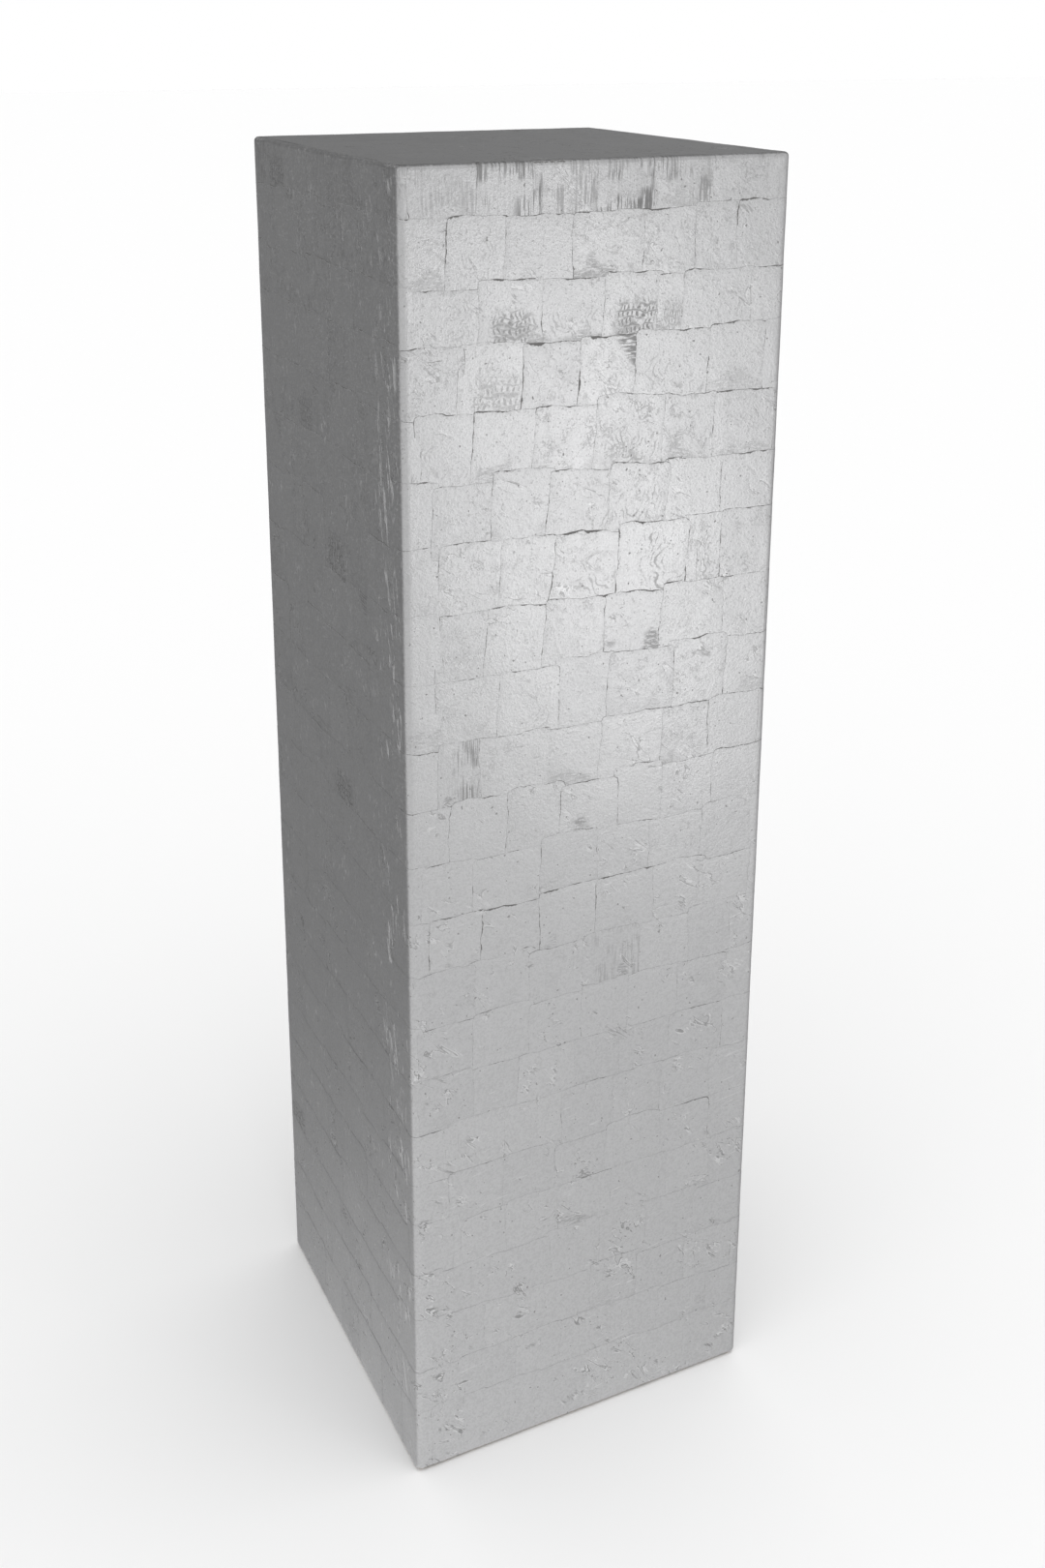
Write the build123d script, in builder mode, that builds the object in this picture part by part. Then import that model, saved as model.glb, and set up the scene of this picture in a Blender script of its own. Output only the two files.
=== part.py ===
from build123d import *
import math
import os

# Square display pedestal: a board carcass whose outside is gilded with silver leaf.
# Millimetres, +Z up. The origin is on the floor, under the middle of the pedestal.
# The front faces -Y and the left side faces -X.

# ---- driving dimensions ----
width = 350.0
depth = 350.0
height = 1200.0
board_thickness = 18.0
top_thickness = 18.0
corner_radius = 6.0
top_edge_radius = 3.5
bottom_edge_radius = 1.5

# ---- feet ----
felt_thickness = 3.0
felt_radius = 14.0
felt_edge_radius = 0.5
glide_thickness = 6.0
glide_radius = 16.0
glide_edge_chamfer = 1.0
glide_inset = 45.0  # from each outer face to a glide's centre
floor_gap = 3.0  # the walls stop this far above the floor

# ---- inner structure ----
base_thickness = 18.0
base_clearance = 0.5  # all round the base panel, which lifts out
post_size = 30.0
post_edge_chamfer = 3.0
cleat_size = 25.0
cleat_edge_chamfer = 2.0
cleat_end_clearance = 0.5
brace_thickness = 12.0
brace_height = 600.0  # floor to the middle of the brace
brace_clearance = 0.5
brace_hole_radius = 45.0
spline_thickness = 3.0
spline_width = 14.0
spline_setback = 9.0  # from the inner corner, along the mitre
spline_stop = 20.0  # groove stops this far from each end of a wall

# ---- dowels and screws ----
dowel_radius = 4.0
dowel_clearance = 0.05
dowel_in_wall = 20.0
dowel_in_top = 12.0
dowel_end_relief = 0.5
dowel_spots = (-95.0, 0.0, 95.0)  # along each wall, from its middle
screw_radius = 2.0
screw_head_radius = 4.0
screw_length = 35.0
screw_spots = (-75.0, 75.0)
glide_screw_radius = 1.75
glide_screw_head_radius = 3.5
glide_screw_length = 14.0
screw_clearance = 0.25  # radial, where the screw passes freely
pilot_clearance = 0.05  # radial, where the thread bites
pilot_extra_depth = 1.0
head_sink = 0.2  # below the surface
recess_width = 0.9  # of each bar of the cross recess
recess_depth = 1.6

# ---- heights worked out from those ----
half_width = width / 2
half_depth = depth / 2
wall_bottom = floor_gap
wall_top = height - top_thickness
wall_height = wall_top - wall_bottom
base_bottom = felt_thickness + glide_thickness
base_top = base_bottom + base_thickness
brace_bottom = brace_height - brace_thickness / 2
brace_top = brace_height + brace_thickness / 2
inner_width = width - 2 * board_thickness
inner_depth = depth - 2 * board_thickness

# name: (turn about Z, length along the wall, distance of its outer face from the middle)
sides = {
    "front": (0, width, half_depth),
    "right": (90, depth, half_width),
    "back": (180, width, half_depth),
    "left": (270, depth, half_width),
}
# name: (which way in X, which way in Y)
corners = {
    "front_left": (-1, -1),
    "front_right": (1, -1),
    "back_right": (1, 1),
    "back_left": (-1, 1),
}


def side_plane(turn, level):
    """A level plane turned so that the wall's outer face looks along its -Y."""
    along = (math.cos(math.radians(turn)), math.sin(math.radians(turn)), 0)
    return Plane(origin=(0, 0, level), x_dir=along, z_dir=(0, 0, 1))


def around(inset, spots):
    """Points on all four sides, inset from the outer faces and spread along each side."""
    found = []
    for turn, _, reach in sides.values():
        plane = side_plane(turn, 0)
        for spot in spots:
            point = plane.from_local_coords(Vector(spot, inset - reach, 0))
            found.append((point.X, point.Y))
    return found


def corner_points(inset_x, inset_y):
    """The four points that lie inset from the outer faces, one near each corner."""
    return [(sx * (half_width - inset_x), sy * (half_depth - inset_y)) for sx, sy in corners.values()]


def spline_plane(name, level):
    """A level plane on a corner's mitre, with X across the joint."""
    sx, sy = corners[name]
    inward = board_thickness - spline_setback / math.sqrt(2)
    middle = (sx * (half_width - inward), sy * (half_depth - inward), level)
    return Plane(origin=middle, x_dir=(-sy, sx, 0), z_dir=(0, 0, 1))


def from_middle(edge):
    """How far an edge's centre lies from the pedestal's upright axis."""
    return math.hypot(edge.center().X, edge.center().Y)


def countersink_depth(head_radius, shank_radius):
    """How deep a right-angled countersink goes, from the head's rim to the shank."""
    return head_radius - shank_radius


def screw_outline(head_radius, shank_radius, length):
    """Half the section of a countersunk screw: head at the origin, point along +Y."""
    cone = countersink_depth(head_radius, shank_radius)
    tip = shank_radius * 1.5
    Polyline(
        (0, 0),
        (head_radius, 0),
        (shank_radius, cone),
        (shank_radius, length - tip),
        (0, length),
        close=True,
    )


def make_screws(label, points, level, head_radius, shank_radius, length):
    """A group of equal screws driven upwards, their heads facing down at this level."""
    with BuildPart() as screws:
        with BuildSketch(Plane.XZ):
            with BuildLine():
                screw_outline(head_radius, shank_radius, length)
            make_face()
        revolve(axis=Axis.Z)
        with BuildSketch(Plane.XY):
            Rectangle(head_radius, recess_width)
            Rectangle(recess_width, head_radius)
        extrude(amount=recess_depth, mode=Mode.SUBTRACT)
    one = screws.part
    group = [Pos(x, y, level) * one for x, y in points]
    compound = Compound(children=group)
    compound.label = label
    return compound


def pilot_bore(points, level, radius, deep):
    """Bores upwards from a level, in the part being built."""
    with BuildSketch(Plane.XY.offset(level)) as bores:
        with Locations(*points):
            Circle(radius)
    extrude(bores.sketch, amount=deep, mode=Mode.SUBTRACT)


def countersinks(points, level, head_radius, shank_radius):
    """Right-angled countersinks that open downwards at a level, in the part being built."""
    mouth = head_radius + head_sink
    neck = shank_radius + screw_clearance
    cone = countersink_depth(mouth, neck)
    with Locations(*[(x, y, level) for x, y in points]):
        Cone(mouth, neck, cone, align=(Align.CENTER, Align.CENTER, Align.MIN), mode=Mode.SUBTRACT)


def export_piece(shape, label):
    """Names a finished piece and writes its STEP file."""
    shape.label = label
    export_step(shape, f"parts/{label}.step")


os.makedirs("parts", exist_ok=True)

base_screw_points = around(board_thickness + cleat_size / 2, screw_spots)
top_screw_points = base_screw_points
dowel_points = around(board_thickness / 2, dowel_spots)
glide_points = corner_points(glide_inset, glide_inset)

# ---- walls: four boards, mitred where they meet and rounded over outside ----
for name, (turn, length, reach) in sides.items():
    end = length / 2
    arc_middle = corner_radius * (1 - math.sqrt(0.5))
    with BuildPart() as wall:
        with BuildSketch(side_plane(turn, wall_bottom)):
            with BuildLine():
                Line((corner_radius - end, -reach), (end - corner_radius, -reach))
                right_arc = CenterArc((end - corner_radius, corner_radius - reach), corner_radius, -90, 45)
                Polyline(
                    right_arc @ 1,
                    (end - board_thickness, board_thickness - reach),
                    (board_thickness - end, board_thickness - reach),
                    (arc_middle - end, arc_middle - reach),
                )
                CenterArc((corner_radius - end, corner_radius - reach), corner_radius, -135, 45)
            make_face()
        extrude(amount=wall_height)
        local = side_plane(turn, 0)
        low_edges = wall.edges().group_by(Axis.Z)[0]
        rim = low_edges.filter_by(
            lambda edge: -local.to_local_coords(edge.center()).Y > reach - corner_radius / 2
        )
        fillet(rim, bottom_edge_radius)
        for corner in corners:
            with BuildSketch(spline_plane(corner, wall_bottom + spline_stop)):
                Rectangle(spline_width, spline_thickness)
            extrude(amount=wall_height - 2 * spline_stop, mode=Mode.SUBTRACT)
        pilot_bore(dowel_points, wall_top - dowel_in_wall, dowel_radius, dowel_in_wall)
    export_piece(wall.part, f"{name}_wall")

# ---- top panel: lies on the walls, its upper edge rounded over ----
with BuildPart() as top_panel:
    with BuildSketch(Plane.XY.offset(wall_top)):
        RectangleRounded(width, depth, corner_radius)
    extrude(amount=top_thickness)
    fillet(top_panel.edges().group_by(Axis.Z)[-1], top_edge_radius)
    pilot_bore(dowel_points, wall_top, dowel_radius, dowel_in_top)
    pilot_bore(
        top_screw_points,
        wall_top,
        screw_radius + pilot_clearance,
        screw_length + head_sink - cleat_size + pilot_extra_depth,
    )
export_piece(top_panel.part, "top_panel")

# ---- base panel: closes the carcass from below and carries the glides ----
with BuildPart() as base_panel:
    with BuildSketch(Plane.XY.offset(base_bottom)):
        Rectangle(inner_width - 2 * base_clearance, inner_depth - 2 * base_clearance)
    extrude(amount=base_thickness)
    pilot_bore(base_screw_points, base_bottom, screw_radius + screw_clearance, base_thickness)
    countersinks(base_screw_points, base_bottom, screw_head_radius, screw_radius)
    pilot_bore(
        glide_points,
        base_bottom,
        glide_screw_radius + pilot_clearance,
        glide_screw_length + head_sink - glide_thickness + pilot_extra_depth,
    )
export_piece(base_panel.part, "base_panel")

# ---- brace: a board half way up that keeps the box square ----
with BuildPart() as mid_brace:
    with BuildSketch(Plane.XY.offset(brace_bottom)):
        Rectangle(inner_width - 2 * brace_clearance, inner_depth - 2 * brace_clearance)
        Circle(brace_hole_radius, mode=Mode.SUBTRACT)
    extrude(amount=brace_thickness)
export_piece(mid_brace.part, "mid_brace")

# ---- corner posts: glued into the corners, below and above the brace ----
post_inset = board_thickness + post_size / 2
for name, (sx, sy) in corners.items():
    middle = (sx * (half_width - post_inset), sy * (half_depth - post_inset))
    for stage, bottom, top in (("lower", base_top, brace_bottom), ("upper", brace_top, wall_top)):
        with BuildPart() as post:
            with BuildSketch(Plane.XY.offset(bottom)):
                with Locations(middle):
                    Rectangle(post_size, post_size)
            extrude(amount=top - bottom)
            inner_edge = post.edges().filter_by(Axis.Z).sort_by(from_middle)[0]
            chamfer(inner_edge, post_edge_chamfer)
        export_piece(post.part, f"{stage}_post_{name}")

# ---- cleats: glued along the walls between the posts ----
for name, (turn, length, reach) in sides.items():
    cleat_length = length - 2 * (board_thickness + post_size + cleat_end_clearance)
    cleat_middle = board_thickness + cleat_size / 2 - reach
    for stage, bottom in (("base", base_top), ("top", wall_top - cleat_size)):
        with BuildPart() as cleat:
            with BuildSketch(side_plane(turn, bottom)):
                with Locations((0, cleat_middle)):
                    Rectangle(cleat_length, cleat_size)
            extrude(amount=cleat_size)
            free_edges = cleat.edges().group_by(Axis.Z)[-1 if stage == "base" else 0]
            inner_edge = free_edges.sort_by(from_middle)[0]
            chamfer(inner_edge, cleat_edge_chamfer)
            if stage == "base":
                bite = screw_length + head_sink - base_thickness + pilot_extra_depth
                pilot_bore(base_screw_points, base_top, screw_radius + pilot_clearance, bite)
            else:
                pilot_bore(top_screw_points, bottom, screw_radius + screw_clearance, cleat_size)
                countersinks(top_screw_points, bottom, screw_head_radius, screw_radius)
        export_piece(cleat.part, f"{stage}_cleat_{name}")

# ---- mitre splines: tongues glued across the corner joints ----
for name in corners:
    with BuildPart() as spline:
        with BuildSketch(spline_plane(name, wall_bottom + spline_stop)):
            Rectangle(spline_width, spline_thickness)
        extrude(amount=wall_height - 2 * spline_stop)
    export_piece(spline.part, f"mitre_spline_{name}")

# ---- dowels between the walls and the top panel ----
with BuildPart() as top_dowels:
    with BuildSketch(Plane.XY.offset(wall_top - dowel_in_wall + dowel_end_relief)):
        with Locations(*dowel_points):
            Circle(dowel_radius - dowel_clearance)
    extrude(amount=dowel_in_wall + dowel_in_top - 2 * dowel_end_relief)
export_piece(top_dowels.part, "top_dowels")

# ---- glides and their felt pads ----
for name, (x, y) in zip(corners, glide_points):
    with BuildPart() as glide:
        with BuildSketch(Plane.XY.offset(felt_thickness)):
            with Locations((x, y)):
                Circle(glide_radius)
        extrude(amount=glide_thickness)
        chamfer(glide.edges().group_by(Axis.Z)[0], glide_edge_chamfer)
        pilot_bore([(x, y)], felt_thickness, glide_screw_radius + screw_clearance, glide_thickness)
        countersinks([(x, y)], felt_thickness, glide_screw_head_radius, glide_screw_radius)
    export_piece(glide.part, f"glide_{name}")
    with BuildPart() as felt:
        with BuildSketch(Plane.XY):
            with Locations((x, y)):
                Circle(felt_radius)
        extrude(amount=felt_thickness)
        fillet(felt.edges().group_by(Axis.Z)[0], felt_edge_radius)
    export_piece(felt.part, f"felt_pad_{name}")

# ---- screws ----
screw_sets = {
    "top_screws": (top_screw_points, wall_top - cleat_size, screw_head_radius, screw_radius, screw_length),
    "base_screws": (base_screw_points, base_bottom, screw_head_radius, screw_radius, screw_length),
    "glide_screws": (
        glide_points,
        felt_thickness,
        glide_screw_head_radius,
        glide_screw_radius,
        glide_screw_length,
    ),
}
for name, (points, level, head_radius, shank_radius, length) in screw_sets.items():
    screws = make_screws(name, points, level + head_sink, head_radius, shank_radius, length)
    export_piece(screws, name)
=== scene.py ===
"""Lays silver leaf over a square display pedestal and finishes the boards, timbers and feet beneath it."""

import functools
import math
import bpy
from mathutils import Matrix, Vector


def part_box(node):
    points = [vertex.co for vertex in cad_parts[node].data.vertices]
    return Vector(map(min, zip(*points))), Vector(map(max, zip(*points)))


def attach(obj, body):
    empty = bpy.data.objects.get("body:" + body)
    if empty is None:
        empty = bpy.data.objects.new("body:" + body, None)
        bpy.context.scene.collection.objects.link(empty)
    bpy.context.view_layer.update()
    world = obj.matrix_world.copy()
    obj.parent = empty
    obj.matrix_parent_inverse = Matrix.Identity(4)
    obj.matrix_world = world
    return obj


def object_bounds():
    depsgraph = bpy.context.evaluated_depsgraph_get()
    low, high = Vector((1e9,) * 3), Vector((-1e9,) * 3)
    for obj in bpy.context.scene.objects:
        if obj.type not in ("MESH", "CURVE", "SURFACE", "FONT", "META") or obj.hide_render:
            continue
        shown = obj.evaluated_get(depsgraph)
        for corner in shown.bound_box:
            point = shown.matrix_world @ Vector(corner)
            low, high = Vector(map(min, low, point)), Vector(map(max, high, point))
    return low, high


bl_info = {
    "name": "Silver-leafed pedestal",
    "version": (1, 0, 0),
    "blender": (4, 5, 0),
    "location": "3D View > Sidebar > Pedestal",
    "description": "Gilds a square display pedestal with lapped squares of silver leaf",
    "category": "Object",
}

import bpy
import numpy as np
from bpy.props import FloatProperty, FloatVectorProperty, IntProperty, PointerProperty
from mathutils import Vector

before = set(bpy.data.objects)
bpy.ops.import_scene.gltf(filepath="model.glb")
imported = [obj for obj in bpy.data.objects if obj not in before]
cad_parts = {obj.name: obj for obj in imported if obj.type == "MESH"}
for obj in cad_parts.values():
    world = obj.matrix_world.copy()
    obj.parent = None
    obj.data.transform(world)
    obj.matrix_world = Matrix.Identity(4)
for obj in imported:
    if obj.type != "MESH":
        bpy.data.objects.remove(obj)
CAD_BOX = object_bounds()
LOW, HIGH = CAD_BOX

MM = 0.001
ROOT = "root"

# ---- the pedestal's sizes, read from the frame ----
WIDTH = HIGH.x - LOW.x
DEPTH = HIGH.y - LOW.y
HEIGHT = HIGH.z
WALL_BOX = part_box("front_wall")
WALL_BOTTOM = WALL_BOX[0].z
# A wall ends where its mitre meets the rounded corner, half way round the arc.
CORNER_RADIUS = (WIDTH - (WALL_BOX[1].x - WALL_BOX[0].x)) / (2 - math.sqrt(2))
TOP_EDGE_RADIUS = 3.5 * MM
BOTTOM_EDGE_RADIUS = 1.5 * MM

FACES = ("front", "right", "back", "left")

# ---- how leaf lies on leaf ----
LEAST_LIFT = 0.15 * MM  # of a leaf off the board
SIDE_LIFT = 0.05 * MM  # of a leaf's side that lies over its neighbour
TOP_LIFT = 0.11 * MM  # of a leaf's top edge over the row above
PILLOW = 0.012 * MM  # of a leaf's middle over its edges
UNEVEN = 0.10 * MM  # rise and fall of the ground
SIDE_LIFTS_ON_TOP = (0.15 * MM, 0.10 * MM)  # of a leaf's left and right sides on the flat of the top
HIDDEN_FOOT = 5 * MM  # how much farther a leaf reaches under the row below than its lap
TOP_ROW_OVER = 8 * MM  # how far the top row reaches in over the top
LEAST_FOOT = 0.1 * MM  # between the lowest leaf and the walls' end, round the bottom edge
NARROWEST = 6 * MM  # strip of leaf on the top
NO_LIMIT = (-10.0, 10.0)  # round the pedestal nothing stops a leaf

# ---- how uneven the ground is ----
WAVES = 9
WAVE_LENGTH = 0.07
WAVE_LIMIT = 1.2  # past this the boards would show through the leaf

# ---- how finely a leaf is divided, and how much of that goes into a bend ----
PLAIN_GRID = 14
CORNER_GRID = 26
EDGE_GRID = 22
CORNER_SHARE = 0.46
EDGE_SHARE = 0.40

# ---- where the leaves of the front lean: across it from its left end, and up it ----
LEAN = math.radians(5.0)
LEAN_MIDDLE = (0.17, 0.88)
LEAN_REACH = (0.13, 0.20)

# ---- the studio, from the middle of the pedestal's foot ----
FLOOR_SIZE = 60
FLOOR_DROP = 0.2 * MM
KEY_PLACE = (0.665, -1.41, 0.60)
KEY_AIM = (0.0, -DEPTH / 2, 0.95)
KEY_SIZE = (0.13, 0.96)
KEY_TWIST = math.radians(7)
SKY_SPREAD = math.radians(120)
CAMERA_PLACE = (-0.6553, -1.3718, 1.3066)
CAMERA_TURN = (math.radians(90 - 16.30), math.radians(-0.22), math.radians(-25.99))


# ---------------------------------------------------------------- settings


class PedestalLeafSettings(bpy.types.PropertyGroup):
    """How the leaf is cut and laid, and its colours."""

    pitch: FloatProperty(
        name="Pitch",
        description="How much of a leaf shows between two laps",
        default=53 * MM,
        unit="LENGTH",
    )
    lap: FloatProperty(
        name="Lap",
        description="How far one leaf lies under the next",
        default=6 * MM,
        unit="LENGTH",
    )
    turn: FloatProperty(
        name="Turn",
        description="How far a leaf is commonly out of square",
        default=math.radians(1.0),
        subtype="ANGLE",
    )
    thickness: FloatProperty(
        name="Thickness",
        description="Of a leaf with its size and lacquer",
        default=0.02 * MM,
        unit="LENGTH",
    )
    seed: IntProperty(name="Seed", description="Changes how the leaves happen to fall", default=11)
    silver: FloatVectorProperty(
        name="Silver", description="Colour of the metal", default=(0.695, 0.696, 0.702), subtype="COLOR"
    )
    dull_silver: FloatVectorProperty(
        name="Dull silver",
        description="Colour of the duller leaves",
        default=(0.668, 0.669, 0.676),
        subtype="COLOR",
    )
    bole: FloatVectorProperty(
        name="Bole",
        description="Colour of the clay ground that shows in gaps",
        default=(0.13, 0.127, 0.125),
        subtype="COLOR",
    )


class PedestalStudioSettings(bpy.types.PropertyGroup):
    """The floor, the light and the camera."""

    floor: FloatVectorProperty(
        name="Floor", description="Colour of the floor", default=(0.86, 0.86, 0.86), subtype="COLOR"
    )
    front_glow: FloatProperty(
        name="Front glow", description="Brightness of the room before the pedestal", default=0.705
    )
    back_glow: FloatProperty(
        name="Back glow", description="Brightness of the room behind the pedestal", default=0.30
    )
    key_power: FloatProperty(
        name="Key power", description="Power of the key light", default=1.25, unit="POWER"
    )
    halo: FloatProperty(
        name="Halo", description="How much brighter the room is round the key light", default=0.05
    )
    sky_strength: FloatProperty(
        name="Sky strength", description="Strength of the soft light overhead", default=2.2
    )


# ---------------------------------------------------------------- node tools


class Tree:
    """Adds nodes to a node tree and returns the sockets that they put out."""

    def __init__(self, tree):
        self.tree = tree

    def node(self, kind, inputs=(), **options):
        made = self.tree.nodes.new(kind)
        for name, value in options.items():
            setattr(made, name, value)
        for key, value in dict(inputs).items():
            self.feed(made.inputs[key], value)
        return made

    def feed(self, socket, value):
        if isinstance(value, bpy.types.NodeSocket):
            self.tree.links.new(value, socket)
        else:
            socket.default_value = value

    def math(self, operation, *values, clamp=False):
        inputs = dict(enumerate(values))
        return self.node("ShaderNodeMath", inputs, operation=operation, use_clamp=clamp).outputs[0]

    def fold(self, operation, values):
        """Works one operation through several values, two at a time."""
        return functools.reduce(lambda a, b: self.math(operation, a, b), values)

    def times(self, *values):
        return self.fold("MULTIPLY", values)

    def plus(self, *values):
        return self.fold("ADD", values)

    def minus(self, *values):
        return self.fold("SUBTRACT", values)

    def most(self, *values):
        return self.fold("MAXIMUM", values)

    def least(self, *values):
        return self.fold("MINIMUM", values)

    def times_plus(self, value, by, more, clamp=False):
        return self.math("MULTIPLY_ADD", value, by, more, clamp=clamp)

    def join(self, x, y, z=0.0):
        return self.node("ShaderNodeCombineXYZ", {0: x, 1: y, 2: z}).outputs[0]

    def split(self, vector):
        return self.node("ShaderNodeSeparateXYZ", {0: vector}).outputs

    def stretch(self, vector, scale=(1, 1, 1), turn=(0, 0, 0)):
        inputs = {"Vector": vector, "Rotation": turn, "Scale": scale}
        return self.node("ShaderNodeMapping", inputs).outputs[0]

    def noise(self, vector, scale=1.0, detail=2.0, roughness=0.5, distortion=0.0):
        inputs = {"Scale": scale, "Detail": detail, "Roughness": roughness, "Distortion": distortion}
        return self.node("ShaderNodeTexNoise", {"Vector": vector, **inputs}).outputs["Fac"]

    def step(self, value, low, high, start=0.0, end=1.0):
        """A smooth step from start to end as the value goes from low to high."""
        inputs = {"Value": value, "From Min": low, "From Max": high, "To Min": start, "To Max": end}
        return self.node("ShaderNodeMapRange", inputs, interpolation_type="SMOOTHSTEP").outputs[0]

    def mix(self, share, a, b):
        """A colour between a and b."""
        a, b = ((*end, 1.0) if isinstance(end, tuple) else end for end in (a, b))
        return self.node("ShaderNodeMix", {"Factor": share, 6: a, 7: b}, data_type="RGBA").outputs[2]

    def between(self, share, a, b):
        """A number between a and b."""
        return self.node("ShaderNodeMix", {0: share, 2: a, 3: b}, data_type="FLOAT").outputs[0]


def effect(name, inputs, outputs):
    """Turns a function that wires a tree into one that places a shader node group in a tree.

    The group is made once. An input is a vector where None stands, or else a value that starts at the
    number given. The function gets the tree and the group's inputs and returns what feeds its outputs.
    """

    def make_group(wire):
        group = bpy.data.node_groups.new(name, "ShaderNodeTree")
        for title, start in inputs.items():
            kind = "NodeSocketVector" if start is None else "NodeSocketFloat"
            socket = group.interface.new_socket(name=title, in_out="INPUT", socket_type=kind)
            if start is not None:
                socket.default_value = start
        for title in outputs:
            group.interface.new_socket(name=title, in_out="OUTPUT", socket_type="NodeSocketFloat")
        inner = Tree(group)
        sockets = wire(inner, inner.node("NodeGroupInput").outputs)
        inner.node("NodeGroupOutput", zip(outputs, sockets))
        return group

    def wrap(wire):
        def place(tree, **values):
            group = bpy.data.node_groups.get(name) or make_group(wire)
            placed = tree.node("ShaderNodeGroup", node_tree=group)
            for title, value in values.items():
                tree.feed(placed.inputs[title.replace("_", " ")], value)
            return placed.outputs

        return place

    return wrap


def own_noise(t, given, along_u, along_v):
    """Where a leaf reads its noise, which its seed moves so that no two leaves are alike."""
    seed = given["Seed"]
    moved = t.join(t.times(seed, along_u), t.times(seed, along_v))
    return t.node("ShaderNodeVectorMath", {0: given["UV"], 1: moved}, operation="ADD").outputs[0]


def depths(t, point):
    """How deep a point lies behind the nearer side, behind the nearer face and below the top."""
    x, y, z = t.split(point)
    from_side = t.minus(WIDTH / 2, t.math("ABSOLUTE", x))
    return from_side, t.minus(DEPTH / 2, t.math("ABSOLUTE", y)), t.minus(HEIGHT, z)


# ---------------------------------------------------------------- shared effects


@effect("Fine grain and glint spots", {"Vector": None}, ("Speck", "Ripple", "Slow", "Glint Spots"))
def fine_grain_and_glints(t, given):
    """The tooth of the ground, which prints through the leaf: speckle, ripples and clouds, and spots that
    the leaf paints bright as glints.
    """
    point = given["Vector"]
    # spots in patches that the leaf paints near white as glints
    fleck = t.step(t.noise(t.stretch(point, (320.0, 320.0, 120.0)), 1.0, 2.0, 0.6, 0.8), 0.57, 0.68)
    patch = t.step(t.noise(point, 38.0, 3.0, 0.6), 0.44, 0.66)
    speck = t.noise(point, 460.0, 3.0, 0.66)
    ripple = t.noise(point, 135.0, 3.0, 0.55, 0.6)
    return speck, ripple, t.noise(point, 22.0), t.times(fleck, patch)


LEAF_RIM_INPUTS = {"UV": None, "Seed": 0.0, "Open": 1.0, "Crumbs": 0.5, "Half Size": 29.0, "Sharpness": 2.2}


@effect("Leaf rim", LEAF_RIM_INPUTS, ("Gap", "Distance"))
def leaf_rim(t, given):
    """Where a leaf's torn edge lets the ground show, partly painted shade in the lap, and how many
    millimetres a point lies from the edge.
    """
    u, v, _ = t.split(given["UV"])
    across = t.math("ABSOLUTE", t.times_plus(u, 2.0, -1.0))
    along = t.math("ABSOLUTE", t.times_plus(v, 2.0, -1.0))
    distance = t.times(t.minus(1.0, t.most(across, along)), given["Half Size"])
    own = own_noise(t, given, 1.0, 7.3)
    ragged = t.minus(t.noise(own, 15.0, 4.0, 0.7), 0.5)
    parted = t.step(t.noise(own, 3.0), 0.46, 0.66)
    # the upright laps close better than the level ones
    level = t.step(t.minus(along, across), -0.03, 0.03, 0.7, 1.0)
    opened = t.times(given["Open"], level)
    width = t.times_plus(opened, t.times_plus(parted, 1.15, 0.26), -0.07)
    reach = t.times(t.times_plus(parted, 2.8, 1.7), t.math("SQRT", opened))
    edge = t.minus(width, t.times_plus(ragged, reach, distance))
    # the dark seam: ground showing in the gap, and painted shade in the lap
    seam_ground_and_shade = t.times_plus(edge, given["Sharpness"], 0.45, clamp=True)
    # crumbs of ground show where the corners of four leaves meet
    meeting = t.times(t.step(across, 0.72, 0.97), t.step(v, 0.84, 0.98))
    crumbs = t.step(t.noise(own, 30.0, 3.0, 0.7), 0.61, 0.68)
    return t.most(seam_ground_and_shade, t.times(meeting, crumbs, given["Crumbs"])), distance


@effect("Burnish arcs", {"UV": None, "Seed": 0.0, "Amount": 0.0}, ("Mark",))
def burnish_arcs(t, given):
    """Strokes that swing round a point in a leaf, as a burnisher leaves them."""
    seed = given["Seed"]
    own = own_noise(t, given, 5.1, 1.0)
    u, v, _ = t.split(given["UV"])
    wobble = t.minus(t.noise(own, 3.4), 0.5)
    off_u = t.minus(u, t.times_plus(t.math("SINE", t.times(seed, 9.0)), 0.2, 0.55))
    off_v = t.times(t.minus(v, 0.5), 0.72)
    far = t.math("SQRT", t.plus(t.times(off_u, off_u), t.times(off_v, off_v)))
    swing = t.math("SINE", t.times(t.times_plus(wobble, 0.34, far), 84.0))
    broken = t.step(t.noise(own, 5.0, 3.0, 0.6), 0.40, 0.58)
    lean = t.minus(t.times(off_u, t.math("SINE", t.times(seed, 5.0))), off_v)
    band = t.times(t.step(far, 0.06, 0.14), t.step(far, 0.50, 0.36), t.step(lean, -0.16, 0.06))
    return (t.times(t.step(swing, 0.30, 1.0), broken, band, given["Amount"]),)


@effect("Cross hatch", {"UV": None, "Seed": 0.0, "Amount": 0.0}, ("Mark",))
def cross_hatch(t, given):
    """Short upright strokes in rows, where a leaf took the weave of the cushion it was cut on."""
    own = own_noise(t, given, 1.0, 3.7)
    u, v, _ = t.split(given["UV"])
    warp = t.times(t.minus(t.noise(own, 4.0), 0.5), 0.26)
    bars = t.math("SINE", t.times(t.plus(u, warp), 80.0))
    rungs = t.math("SINE", t.times(t.minus(v, warp), 56.0))
    uprights = t.times(t.step(bars, 0.0, 0.8), t.step(rungs, 0.9, -0.3))
    strokes = t.most(uprights, t.times(t.step(rungs, 0.35, 0.95), 0.8))
    from_middle = t.math("ABSOLUTE", t.minus(t.times_plus(warp, 1.2, u), 0.55))
    patch = t.times(t.step(from_middle, 0.42, 0.26), t.step(t.plus(v, warp), 0.72, 0.46))
    broken = t.step(t.noise(own, 8.0, 3.0, 0.65), 0.34, 0.50)
    return (t.times(strokes, patch, broken, given["Amount"]),)


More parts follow.
